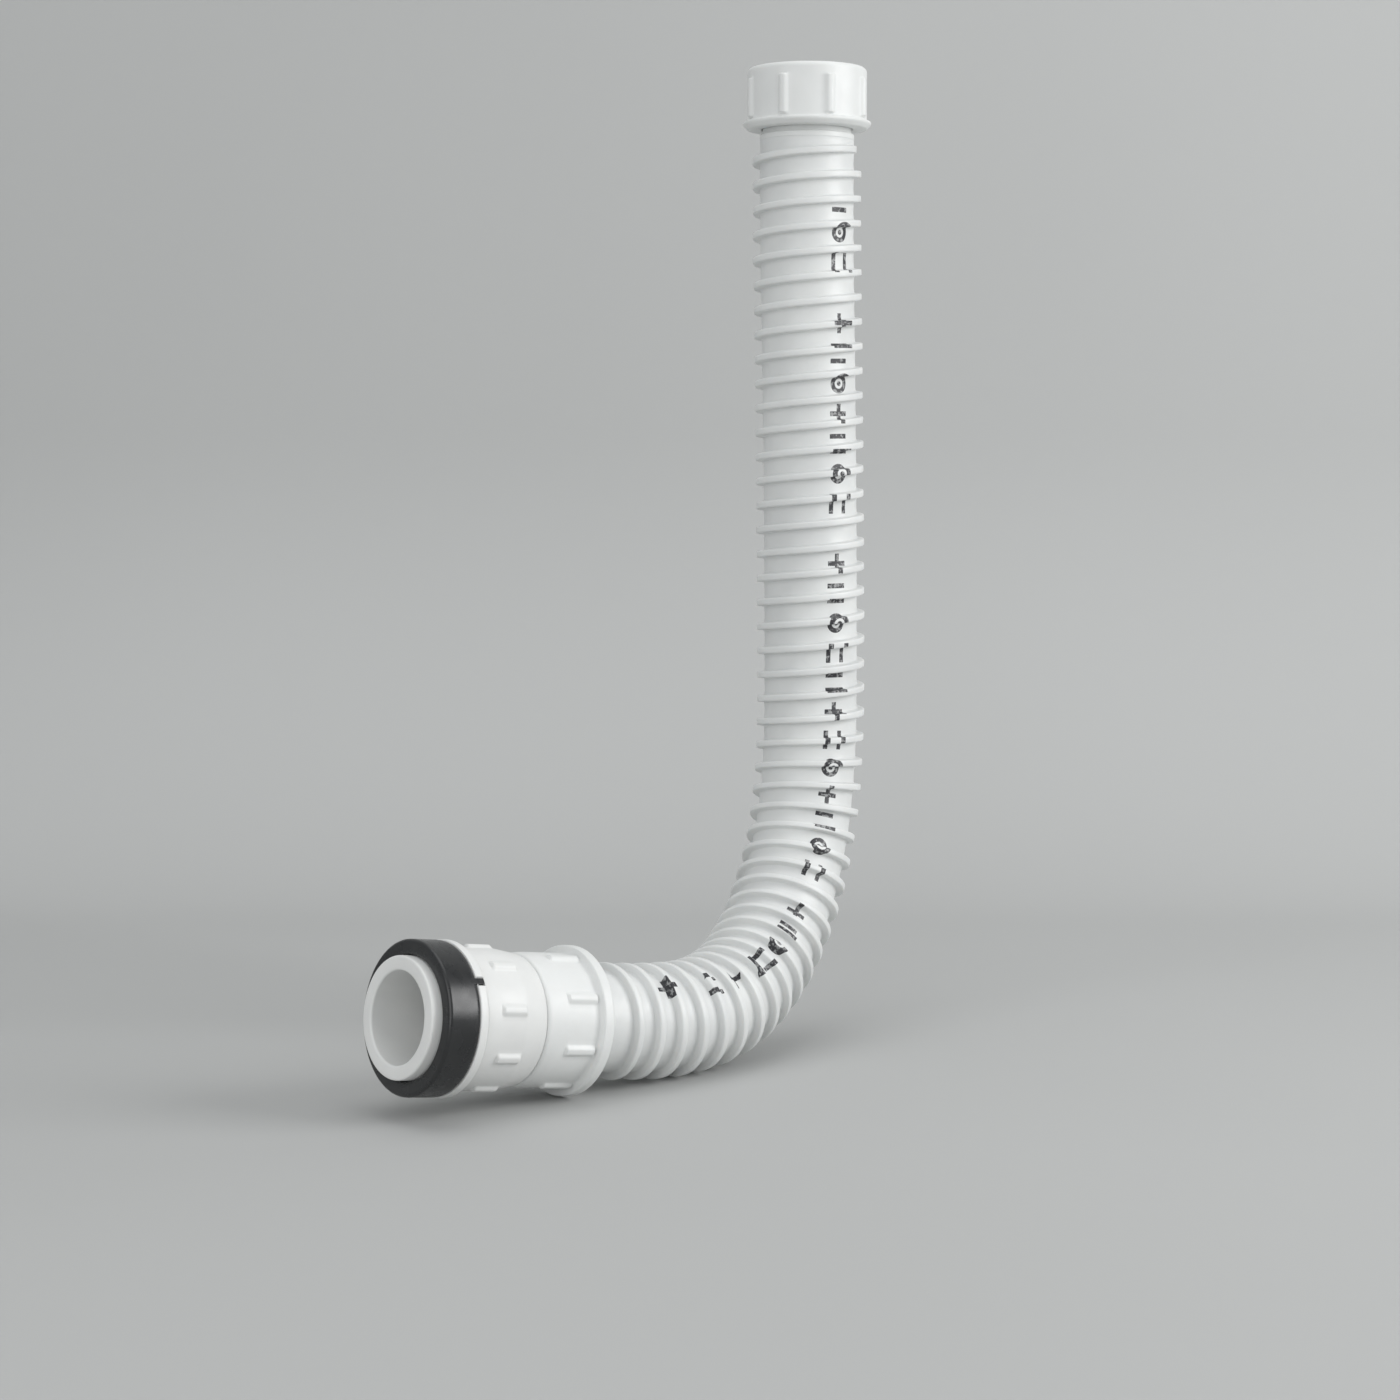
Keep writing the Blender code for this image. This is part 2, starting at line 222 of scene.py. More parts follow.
# Printed marks along the hose
PRINT_START = 0.030
PRINT_END = 0.426
PRINT_ANGLE = radians(84.0)
PRINT_DRIFT = radians(75.0)
PRINT_PITCH = 0.0118
PRINT_HEIGHT = 0.0080
PRINT_STROKE = 0.0019
PRINT_LENGTH = 0.0078
PRINT_SHUFFLE = 0.381966
PRINT_RINGS = (0.0, 0.22)
PRINT_CROSSES = (0.22, 0.44)
PRINT_RAILS = (0.44, 0.66)
PRINT_BARS = (0.66, 0.90)
PRINT_WEAR_SCALE = 700.0
PRINT_THINNEST = 0.6
PRINT_INK = (0.03, 0.03, 0.035)

# Surfaces: name, colour, shade, least and most roughness, grain and softness
MOULDED = ("moulded_plastic", (0.80, 0.81, 0.80), (0.74, 0.75, 0.74), (0.36, 0.50), 0.25, 0.08)
FITTING = ("adapter_plastic", (0.81, 0.815, 0.80), (0.75, 0.755, 0.745), (0.34, 0.48), 0.25, 0.08)
FLEXIBLE = ("hose_plastic", (0.79, 0.80, 0.79), (0.72, 0.73, 0.725), (0.34, 0.48), 0.35, 0.15)
RUBBER = ("ring_rubber", (0.014, 0.015, 0.016), (0.025, 0.026, 0.027), (0.22, 0.34), 0.35, 0.0)
WASHER = ("washer_rubber", (0.10, 0.10, 0.10), (0.15, 0.15, 0.15), (0.5, 0.65), 0.5, 0.0)
CLOUD_SCALE = 45.0
SPECK_SCALE = 900.0
SPECK_SHARE = 0.35
GLOSS_SCALE = 160.0
FLOW_SCALE = 120.0
FLOW_STRENGTH = 0.35
FLOW_DEPTH = 0.00012
GRAIN_SCALE = 2600.0
GRAIN_DEPTH = 0.00003
SOFT_REACH = (0.0022, 0.0020, 0.0018)
PAPER_LIGHT = (0.51, 0.515, 0.51)
PAPER_DARK = (0.48, 0.485, 0.48)
PAPER_CLOUD_SCALE = 1.2
PAPER_ROUGHNESS = 0.85
PAPER_GLOSS = 0.15

# Camera and studio
SENSOR_WIDTH = 36.0
CAMERA_NEAR = 0.01
CAMERA_FAR = 20.0
CAMERA_LENS = 73.986
CAMERA_PLACE = (-0.7579, -0.8705, -0.1630)
CAMERA_TURN = radians(-38.94)
CAMERA_PITCH = radians(4.33)
BACKDROP_DISTANCE = 0.36
BACKDROP_CURVE = 0.25
BACKDROP_FACES = 16
STUDIO_SIZE = 3.0
STUDIO_MIDDLE = (-0.08, -0.02)
FLOOR_GAP = 0.0002
LAMP_AIM = (-0.08, -0.02, -0.22)
LAMPS = (
    ("soft_box", (0.74, -1.24, 0.30), 0.9, 14.4),
    ("fill_panel", (-1.4, -0.6, 0.28), 1.2, 7.5),
    ("top_panel", (-0.1, 0.0, 1.1), 1.2, 5.6),
)
AIR_COLOUR = (0.9, 0.93, 0.95, 1.0)
AIR_STRENGTH = 0.44


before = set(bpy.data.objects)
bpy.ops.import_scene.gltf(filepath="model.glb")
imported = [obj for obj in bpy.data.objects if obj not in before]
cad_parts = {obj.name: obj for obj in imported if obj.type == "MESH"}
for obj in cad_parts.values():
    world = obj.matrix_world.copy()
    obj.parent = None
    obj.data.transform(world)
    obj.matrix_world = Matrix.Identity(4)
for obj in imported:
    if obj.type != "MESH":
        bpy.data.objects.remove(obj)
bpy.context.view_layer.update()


# Route of the hose


def smooth_step(share):
    share = np.clip(share, 0.0, 1.0)
    return share * share * (3.0 - 2.0 * share)


def route_direction(along):
    """The hose's direction at a length along its route: down the slightly bowed leg, then round to -X."""
    fall = BEND_ANGLE * smooth_step((along - LEG_LENGTH) / BEND_LENGTH)
    turn_start = LEG_LENGTH + BEND_LENGTH - SIDE_TURN_LENGTH
    side = SIDE_TURN * (1.0 - smooth_step((along - turn_start) / SIDE_TURN_LENGTH))
    bow_start = smooth_step((along - HEAD_STRAIGHT) / BOW_RISE)
    bow = LEG_BOW * bow_start * (1.0 - smooth_step((along - HEAD_STRAIGHT) / BOW_LENGTH))
    sideways = np.sin(bow) - np.sin(fall) * np.cos(side)
    forward = np.stack([sideways, -np.sin(fall) * np.sin(side), -np.cos(fall)])
    return (forward / np.linalg.norm(forward, axis=0)).T


def route():
    """Lengths, centres and two cross directions along the hose, which turn no more than they must."""
    steps = ceil(ROUTE_LENGTH / PATH_STEP)
    along = np.linspace(0.0, ROUTE_LENGTH, steps + 1)
    forward = route_direction(along)
    between = route_direction((along[1:] + along[:-1]) / 2) * (ROUTE_LENGTH / steps)
    start = np.array([[0.0, 0.0, -UPPER_NUT["length"]]])
    centres = np.concatenate([start, start + np.cumsum(between, axis=0)])
    across = [np.array([1.0, 0.0, 0.0])]
    for heading in forward[1:]:
        level = across[-1] - heading * np.dot(across[-1], heading)
        across.append(level / np.linalg.norm(level))
    across = np.array(across)
    return along, centres, across, np.cross(forward, across)


ROUTE = route()
UPPER_PLACE = Matrix.Translation((0.0, 0.0, -UPPER_NUT["length"]))


def lower_place():
    outward = Vector(route_direction(np.array(ROUTE_LENGTH)))
    side = Vector((0.0, -1.0, 0.0))
    turned_frame = Matrix((side, outward.cross(side), outward)).transposed().to_4x4()
    return Matrix.Translation(Vector(ROUTE[1][-1])) @ turned_frame


LOWER_PLACE = lower_place()


# Materials


def add_node(material, kind, **sockets):
    node = material.node_tree.nodes.new(kind)
    for name, value in sockets.items():
        node.inputs[name.replace("_", " ")].default_value = value
    return node


def connect(material, source, target):
    material.node_tree.links.new(source, target)


def noise(material, where, scale, detail):
    node = add_node(material, "ShaderNodeTexNoise", Scale=scale, Detail=detail)
    connect(material, where, node.inputs["Vector"])
    return node.outputs["Fac"]


def spread(material, source, low, high, from_low=0.3, from_high=0.7):
    node = add_node(material, "ShaderNodeMapRange")
    for name, value in (("From Min", from_low), ("From Max", from_high), ("To Min", low), ("To Max", high)):
        node.inputs[name].default_value = value
    connect(material, source, node.inputs["Value"])
    return node.outputs["Result"]


def mix(material, factor, one, other):
    node = material.node_tree.nodes.new("ShaderNodeMix")
    node.data_type = "RGBA"
    for socket, value in ((node.inputs[0], factor), (node.inputs[6], one), (node.inputs[7], other)):
        if isinstance(value, bpy.types.NodeSocket):
            connect(material, value, socket)
        elif isinstance(value, tuple):
            socket.default_value = (*value, 1.0)
        else:
            socket.default_value = value
    return node.outputs[2]


def figure(material, operation, *values):
    node = material.node_tree.nodes.new("ShaderNodeMath")
    node.operation = operation
    for number, value in enumerate(values):
        if isinstance(value, bpy.types.NodeSocket):
            connect(material, value, node.inputs[number])
        else:
            node.inputs[number].default_value = value
    return node.outputs[0]


def surface(name, colour, shade, rough, grain, softness):
    """A moulded surface: cloudy colour, uneven gloss, faint flow marks and a fine grain."""
    material = bpy.data.materials.new(name)
    material.use_nodes = True
    shader = material.node_tree.nodes["Principled BSDF"]
    where = material.node_tree.nodes.new("ShaderNodeTexCoord").outputs["Object"]
    cloud = noise(material, where, CLOUD_SCALE, 4.0)
    speck = noise(material, where, SPECK_SCALE, 2.0)
    tone = mix(material, spread(material, cloud, 0.0, 1.0), colour, shade)
    tone = mix(material, spread(material, speck, 0.0, SPECK_SHARE, 0.62, 0.78), tone, shade)
    gloss = noise(material, where, GLOSS_SCALE, 5.0)
    connect(material, tone, shader.inputs["Base Color"])
    connect(material, spread(material, gloss, rough[0], rough[1]), shader.inputs["Roughness"])
    flow = add_node(material, "ShaderNodeBump", Strength=FLOW_STRENGTH, Distance=FLOW_DEPTH)
    connect(material, noise(material, where, FLOW_SCALE, 3.0), flow.inputs["Height"])
    fine = add_node(material, "ShaderNodeBump", Strength=grain, Distance=GRAIN_DEPTH)
    connect(material, noise(material, where, GRAIN_SCALE, 3.0), fine.inputs["Height"])
    connect(material, flow.outputs["Normal"], fine.inputs["Normal"])
    connect(material, fine.outputs["Normal"], shader.inputs["Normal"])
    shader.inputs["Subsurface Weight"].default_value = softness
    shader.inputs["Subsurface Radius"].default_value = SOFT_REACH
    shader.inputs["Subsurface Scale"].default_value = 1.0
    return material


def printed(material):
    """Dark rings, crosses, rails and bars in one line along the hose, in ink that is worn in places."""
    nodes = material.node_tree.nodes
    shader = nodes["Principled BSDF"]
    plain = shader.inputs["Base Color"].links[0].from_socket
    unwrapped = nodes.new("ShaderNodeUVMap")
    unwrapped.uv_map = "wrap"
    parts = nodes.new("ShaderNodeSeparateXYZ")
    connect(material, unwrapped.outputs["UV"], parts.inputs["Vector"])
    turn, along = parts.outputs["X"], parts.outputs["Y"]
    line = figure(material, "MULTIPLY_ADD", along, PRINT_DRIFT / tau, PRINT_ANGLE / tau)
    side = figure(material, "MULTIPLY", figure(material, "SUBTRACT", turn, line), pi * HOSE_DIAMETER)
    cell = figure(material, "DIVIDE", along, PRINT_PITCH)
    number = figure(material, "FLOOR", cell)
    from_middle = figure(material, "SUBTRACT", figure(material, "FRACT", cell), 0.5)
    forth = figure(material, "MULTIPLY", from_middle, PRINT_PITCH)
    pick = figure(material, "FRACT", figure(material, "MULTIPLY", number, PRINT_SHUFFLE))

    def within(value, limit):
        return figure(material, "LESS_THAN", figure(material, "ABSOLUTE", value), limit)

    def both(one, other):
        return figure(material, "MULTIPLY", one, other)

    def either(one, other):
        return figure(material, "MAXIMUM", one, other)

    def between(value, low, high):
        above = figure(material, "GREATER_THAN", value, low)
        return both(above, figure(material, "LESS_THAN", value, high))

    reach = figure(material, "SQRT", figure(material, "ADD", both(side, side), both(forth, forth)))
    thick = PRINT_STROKE / 2
    half_length = PRINT_LENGTH / 2
    half_height = PRINT_HEIGHT / 2
    dot = figure(material, "LESS_THAN", reach, thick)
    rings = either(between(reach, half_length - PRINT_STROKE, half_length), dot)
    off_side = figure(material, "SUBTRACT", figure(material, "ABSOLUTE", side), half_height - thick)
    rails = both(within(off_side, thick), within(forth, half_length))
    off_middle = figure(material, "SUBTRACT", figure(material, "ABSOLUTE", forth), half_length - thick)
    bars = both(within(off_middle, thick), within(side, half_height))
    crosses = both(within(side, thick), within(forth, half_length))
    crosses = either(crosses, both(within(forth, thick), within(side, half_height)))
    marks = both(rings, between(pick, *PRINT_RINGS))
    marks = either(marks, both(crosses, between(pick, *PRINT_CROSSES)))
    marks = either(marks, both(rails, between(pick, *PRINT_RAILS)))
    marks = either(marks, both(bars, between(pick, *PRINT_BARS)))
    marks = both(marks, between(along, PRINT_START, PRINT_END))
    where = [node for node in nodes if node.bl_idname == "ShaderNodeTexCoord"][0].outputs["Object"]
    patchy = noise(material, where, PRINT_WEAR_SCALE, 2.0)
    worn = spread(material, patchy, 1.0, PRINT_THINNEST, 0.5, 0.62)
    inked = mix(material, both(marks, worn), plain, PRINT_INK)
    connect(material, inked, shader.inputs["Base Color"])
    return material


def backdrop_material():
    """A plain pale paper, seen only from the object's side so that a view from behind isn't hidden."""
    material = bpy.data.materials.new("studio_grey")
    material.use_nodes = True
    nodes = material.node_tree.nodes
    shader = nodes["Principled BSDF"]
    clear = nodes.new("ShaderNodeBsdfTransparent")
    one_sided = nodes.new("ShaderNodeMixShader")
    connect(material, nodes.new("ShaderNodeNewGeometry").outputs["Backfacing"], one_sided.inputs[0])
    connect(material, shader.outputs["BSDF"], one_sided.inputs[1])
    connect(material, clear.outputs["BSDF"], one_sided.inputs[2])
    connect(material, one_sided.outputs["Shader"], nodes["Material Output"].inputs["Surface"])
    where = nodes.new("ShaderNodeTexCoord").outputs["Object"]
    cloud = noise(material, where, PAPER_CLOUD_SCALE, 2.0)
    tone = mix(material, spread(material, cloud, 0.0, 1.0), PAPER_LIGHT, PAPER_DARK)
    connect(material, tone, shader.inputs["Base Color"])
    shader.inputs["Roughness"].default_value = PAPER_ROUGHNESS
    shader.inputs["Specular IOR Level"].default_value = PAPER_GLOSS
    return material


# Pieces


def add_object(name, corners, faces, material, smooth_angle=50.0):
    data = bpy.data.meshes.new(name)
    data.from_pydata(corners, [], faces)
    data.validate()
    data.materials.append(material)
    data.shade_smooth()
    data.set_sharp_from_angle(angle=radians(smooth_angle))
    piece = bpy.data.objects.new(name, data)
    bpy.context.collection.objects.link(piece)
    return piece


def outline(corners):
    """Points (radius, height, edge) of a closed loop with rounded corners, and edges cut as fine as asked."""
    count = len(corners)
    points = []
    for number, (radius, height, rounding, edge, step) in enumerate(corners):
        here = Vector((radius, height))
        before = Vector(corners[number - 1][:2]) - here
        after = Vector(corners[(number + 1) % count][:2]) - here
        cut = min(rounding, before.length * CORNER_SHARE, after.length * CORNER_SHARE)
        edge_before = corners[number - 1][3]
        if cut > 0.0:
            start = here + before.normalized() * cut
            end = here + after.normalized() * cut
            for i in range(CORNER_FACES + 1):
                t = i / CORNER_FACES
                spot = start * (1 - t) ** 2 + here * (2 * t * (1 - t)) + end * t**2
                points.append((spot.x, spot.y, edge_before if t < 0.5 else edge))
        else:
            end = here
            points.append((here.x, here.y, edge))
        if step:
            following = corners[(number + 1) % count]
            target = Vector(following[:2])
            back = here - target
            stop = target + back.normalized() * min(following[2], back.length * CORNER_SHARE)
            pieces = ceil((stop - end).length / step)
            for i in range(1, pieces):
                spot = end.lerp(stop, i / pieces)
                points.append((spot.x, spot.y, edge))
    return points


def turned(name, corners, material, place, angles, relief=None):
    """Turns a rounded outline round the union's axis; relief adds a height at (edge, angle, height)."""
    points = outline(corners)
    count = len(points)
    places = []
    for angle in angles:
        for radius, height, edge in points:
            reach = radius + (relief(edge, angle, height) if relief and edge else 0.0)
            places.append(place @ Vector((reach * cos(angle), reach * sin(angle), height)))
    faces = []
    for column in range(len(angles)):
        after = (column + 1) % len(angles)
        for row in range(count):
            below = (row + 1) % count
            here, there = column * count, after * count
            faces.append((here + row, there + row, there + below, here + below))
    return add_object(name, places, faces, material)


def plain_angles(sides):
    return [tau * i / sides for i in range(sides)]


def barred_angles(bars, radius, turn):
    """Close-set angles over each grip bar and wider ones between the bars."""
    half = BAR_BASE / radius / 2
    over = np.linspace(-half, half, BAR_COLUMNS)
    gap = np.linspace(half, tau / bars - half, GAP_COLUMNS + 1)[1:-1]
    return [turn + tau * bar / bars + float(offset) for bar in range(bars) for offset in (*over, *gap)]


def bar_relief(angle, height, bars, radius, turn, start, end, raised):
    """Height of a rounded grip bar at an angle and a height along the piece."""
    spacing = tau / bars
    away = abs((angle - turn + spacing / 2) % spacing - spacing / 2) * radius
    side = smooth_step((BAR_BASE / 2 - away) / ((BAR_BASE - BAR_TOP) / 2))
    ends = smooth_step((height - start) / BAR_RAMP) * smooth_step((end - height) / BAR_RAMP)
    return float(raised * side * ends)


def thread_wave(angle, height):
    """1 at a thread's crest and 0 at its root, for a right-handed thread."""
    phase = (height / THREAD_PITCH - angle / tau) % 1.0
    wave = 1.0 - abs(2.0 * phase - 1.0)
    return float(np.clip((wave - 0.5) * THREAD_SHARPNESS + 0.5, 0.0, 1.0))


def make_nut(name, place, material, sizes):
    hole = NUT_HOLE / 2
    body = sizes["body"] / 2
    lip_radius = sizes["lip_diameter"] / 2
    lip = sizes["lip"]
    length = sizes["length"]
    crest = THREAD_CORE + THREAD_GAP - THREAD_ROOT
    thread_start = NUT_FLOOR + THREAD_RUN_IN
    thread_end = length - THREAD_RUN_OUT

    def relief(edge, angle, height):
        if edge == "bars":
            reach = (sizes["bar_start"], sizes["bar_end"])
            return bar_relief(angle, height, NUT_BARS, body, sizes["turn"], *reach, sizes["bar_height"])
        if edge == "thread":
            fade = smooth_step((height - thread_start) / THREAD_PITCH)
            fade = fade * smooth_step((thread_end - height) / THREAD_RUN_OUT)
            return crest * (1.0 - thread_wave(angle, height)) * float(fade)
        return 0.0

    corners = [
        (hole, 0.0, SLIGHT, "", 0.0),
        (lip_radius - sizes["lip_slope"], 0.0, SMALL, "", 0.0),
        (lip_radius, sizes["lip_slope"], ROUND, "", 0.0),
        (lip_radius, lip, EASED, "", 0.0),
        (body, lip, sizes["lip_fillet"], "bars", BAR_STEP),
        (body, length - sizes["taper"], TAPER_ROUNDING, "", TAPER_STEP),
        (body - sizes["drop"], length + sizes["front_fill"], FRONT_ROUNDING, "", 0.0),
        (THREAD_ROOT, length + sizes["front_fill"], SOFT, "thread", THREAD_STEP),
        (THREAD_ROOT, NUT_FLOOR, CRISP, "", 0.0),
        (hole, NUT_FLOOR, FINE, "", 0.0),
    ]
    return turned(name, corners, material, place, barred_angles(NUT_BARS, body, sizes["turn"]), relief)


def make_tail(name, place, material):
    """A flange caught in the nut, a neck through the nut's hole, a collar and a ribbed spigot in the hose."""
    bore = TAIL_BORE / 2
    neck = NUT_HOLE / 2 - TURN_GAP
    collar = HOSE_DIAMETER / 2
    spigot = HOSE_BORE / 2 - TOUCH_GAP
    top = TAIL_FLANGE_START + TAIL_FLANGE
    foot = -HOSE_START - TAIL_SPIGOT

    def relief(edge, angle, height):
        rib = (height - foot) / TAIL_RIB_PITCH % 1.0
        return -TAIL_RIB_DEPTH * float(smooth_step(1.0 - rib * TAIL_RIB_SLOPE))

    corners = [
        (bore, top, SOFT, "", 0.0),
        (SEAT_RADIUS, top, FINE, "", 0.0),
        (SEAT_RADIUS, TAIL_FLANGE_START, FINE, "", 0.0),
        (neck, TAIL_FLANGE_START, FINE, "", 0.0),
        (neck, -NUT_PLAY, CRISP, "", 0.0),
        (collar, -NUT_PLAY, SLIGHT, "", 0.0),
        (collar, -NUT_PLAY - TAIL_COLLAR - COLLAR_FILL, HAIRLINE, "", 0.0),
        (spigot, -NUT_PLAY - TAIL_COLLAR - COLLAR_FILL, 0.0, "ribs", RIB_STEP),
        (spigot, foot, SOFT, "", 0.0),
        (bore, foot, SLIGHT, "", 0.0),
    ]
    return turned(name, corners, material, place, plain_angles(PLAIN_SIDES), relief)


def make_washer(name, place, material):
    inner = WASHER_BORE / 2
    top = WASHER_START + WASHER_THICKNESS
    corners = [
        (inner, top, SLIGHT, "", 0.0),
        (SEAT_RADIUS, top, SMALL, "", 0.0),
        (SEAT_RADIUS, WASHER_START, SMALL, "", 0.0),
        (inner, WASHER_START, SLIGHT, "", 0.0),
    ]
    return turned(name, corners, material, place, plain_angles(PLAIN_SIDES))


def make_adapter(place, material):
    """Threaded core, shoulder, taper, barred body, notched flange and spigot, in one moulding."""
    bore = ADAPTER_BORE / 2
    neck = ADAPTER_NECK / 2
    body = ADAPTER_DIAMETER / 2
    flange = FLANGE_DIAMETER / 2
    spigot = SPIGOT_DIAMETER / 2
    taper_end = ADAPTER_SHOULDER + ADAPTER_TAPER
    body_end = taper_end + ADAPTER_BODY
    bar_end = taper_end + ADAPTER_BAR_LENGTH
    crest = THREAD_DIAMETER / 2 - THREAD_GAP / 2 - THREAD_CORE

    def relief(edge, angle, height):
        if edge == "bars":
            reach = (taper_end, bar_end)
            return bar_relief(angle, height, ADAPTER_BARS, body, ADAPTER_BAR_TURN, *reach, ADAPTER_BAR_HEIGHT)
        if edge == "thread":
            fade = smooth_step((height - ADAPTER_START - CORE_LEAD) / THREAD_PITCH)
            fade = fade * smooth_step((ADAPTER_SHOULDER - CORE_UNDERCUT - height) / THREAD_PITCH)
            return crest * thread_wave(angle, height) * float(fade)
        if edge == "flange":
            away = abs((angle - NIB_ANGLE + pi) % tau - pi) * flange
            inside = NOTCH_WIDTH / 2 + NOTCH_EASE - away
            return -NOTCH_DEPTH * float(smooth_step(inside / NOTCH_ROUNDING))
        return 0.0

    corners = [
        (bore, ADAPTER_START, SLIGHT, "", 0.0),
        (THREAD_CORE, ADAPTER_START, SLIGHT, "thread", THREAD_STEP),
        (THREAD_CORE, ADAPTER_SHOULDER - SHOULDER_FILL, CRISP, "", 0.0),
        (neck, ADAPTER_SHOULDER - SHOULDER_FILL, NECK_ROUNDING, "", SHOULDER_STEP),
        (body, taper_end, FULL, "bars", BAR_STEP),
        (body, body_end, FINE, "", 0.0),
        (body - GROOVE_DEPTH, body_end, CRISP, "", 0.0),
        (body - GROOVE_DEPTH, FLANGE_START, FINE, "", 0.0),
        (flange, FLANGE_START, FULL, "flange", 0.0),
        (flange, FLANGE_FACE, SMALL, "", 0.0),
        (spigot, FLANGE_FACE, FINE, "", 0.0),
        (spigot, SPIGOT_END, FULL, "", 0.0),
        (bore, SPIGOT_END, FULL, "", 0.0),
    ]
    angles = barred_angles(ADAPTER_BARS, body, ADAPTER_BAR_TURN)
    half_notch = (NOTCH_WIDTH / 2 + NOTCH_ROUNDING) / flange
    angles += [NIB_ANGLE + float(offset) for offset in np.linspace(-half_notch, half_notch, NOTCH_COLUMNS)]
    angles = sorted({round(angle % tau, 4) for angle in angles})
    return turned("adapter_look", corners, material, place, angles, relief)


def make_seal_ring(place, material):
    """The rubber ring with eased edges, and its nib that laps over the flange."""
    inner = SPIGOT_DIAMETER / 2 + TOUCH_GAP
    outer = RING_DIAMETER / 2
    front = RING_START + RING_LENGTH
    corners = [
        (inner, RING_START, FINE, "", 0.0),
        (outer - 0.0003, RING_START, SOFT, "", 0.0),
        (outer, RING_START + 0.0010, ROUND, "", RIB_STEP),
        (outer, front - 0.0008, SMALL, "", 0.0),
        (outer - 0.0008, front, SMALL, "", 0.0),
        (inner + 0.0006, front, SOFT, "", 0.0),
        (inner, front - 0.0008, FINE, "", 0.0),
    ]
    ring = turned("seal_ring_look", corners, material, place, plain_angles(RING_SIDES))
    half = NIB_WIDTH / 2 / outer
    low, high = outer - NIB_DEPTH, outer + NIB_RISE
    heights = (FLANGE_START + NIB_INSET, RING_START + NIB_LAP)
    places = []
    for height in heights:
        for radius in (low, high):
            for angle in (NIB_ANGLE - half, NIB_ANGLE + half):
                places.append(place @ Vector((radius * cos(angle), radius * sin(angle), height)))
    faces = [(0, 2, 3, 1), (4, 5, 7, 6), (0, 1, 5, 4), (2, 6, 7, 3), (0, 4, 6, 2), (1, 3, 7, 5)]
    nib = add_object("seal_ring_nib", places, faces, material, 30.0)
    softened = nib.modifiers.new("softened", "BEVEL")
    softened.width = NIB_ROUNDING
    softened.segments = 3
    return ring, nib


